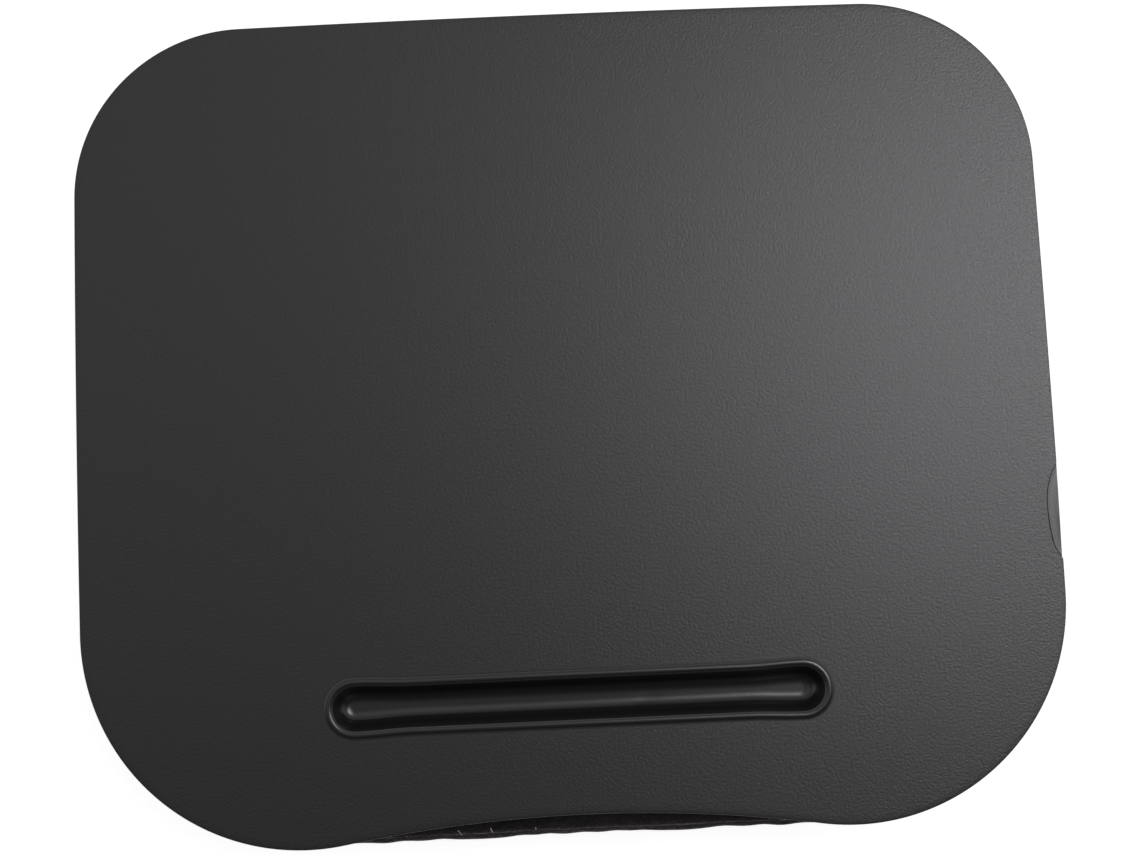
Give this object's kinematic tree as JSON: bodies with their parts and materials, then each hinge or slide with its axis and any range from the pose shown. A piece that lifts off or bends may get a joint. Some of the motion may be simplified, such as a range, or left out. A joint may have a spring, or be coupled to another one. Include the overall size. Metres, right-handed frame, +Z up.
{
  "type": "lap desk",
  "caption": "Flat moulded lap tray with rounded corners, a scooped front edge and a pen groove, fixed on a bead-filled cushion with a zipped cover.",
  "frame": {"origin": "on the surface that the cushion rests on, under the middle of the tray", "axes": "+X to the user's right along the tray's width, +Y away from the user, +Z up"},
  "size_m": [0.3806, 0.331, 0.0627],
  "materials": {
    "tray_plastic": "black injection moulding, fine spark-eroded grain, polished pen groove",
    "hardboard": "brown pressed hardboard, smooth face",
    "screw_steel": "zinc-plated steel",
    "hook_and_loop": "black woven hook and loop tape",
    "plush": "black short-pile plush",
    "calico": "unbleached plain-woven lining, filled with beads",
    "zip_tape": "black woven polyester tape",
    "zip_nylon": "black nylon teeth",
    "zip_metal": "black-lacquered die casting"
  },
  "bodies": {
    "desk": {"top_tray": "tray_plastic", "support_board": "hardboard", "board_screw_1": "screw_steel", "board_screw_2": "screw_steel", "board_screw_3": "screw_steel", "board_screw_4": "screw_steel", "board_screw_5": "screw_steel", "board_screw_6": "screw_steel", "board_screw_7": "screw_steel", "board_screw_8": "screw_steel", "hook_strip_left": "hook_and_loop", "hook_strip_right": "hook_and_loop", "hook_strip_back": "hook_and_loop", "hook_strip_front": "hook_and_loop", "loop_strip_left": "hook_and_loop", "loop_strip_right": "hook_and_loop", "loop_strip_back": "hook_and_loop", "loop_strip_front": "hook_and_loop", "cushion_top_panel": "plush", "cushion_side_band": "plush", "cushion_bottom_panel": "plush", "bead_bag": "calico", "zip_tape_upper": "zip_tape", "zip_tape_lower": "zip_tape", "zip_teeth_upper": "zip_nylon", "zip_teeth_lower": "zip_nylon", "zip_stop_left": "zip_metal", "zip_stop_right": "zip_metal"},
    "slider": {"zip_slider": "zip_metal"}
  },
  "joints": [
    {"name": "zip_slide", "type": "slide", "parent": "desk", "child": "slider", "axis": [-1, 0, 0], "range_m": [0, 0.1798]}
  ]
}
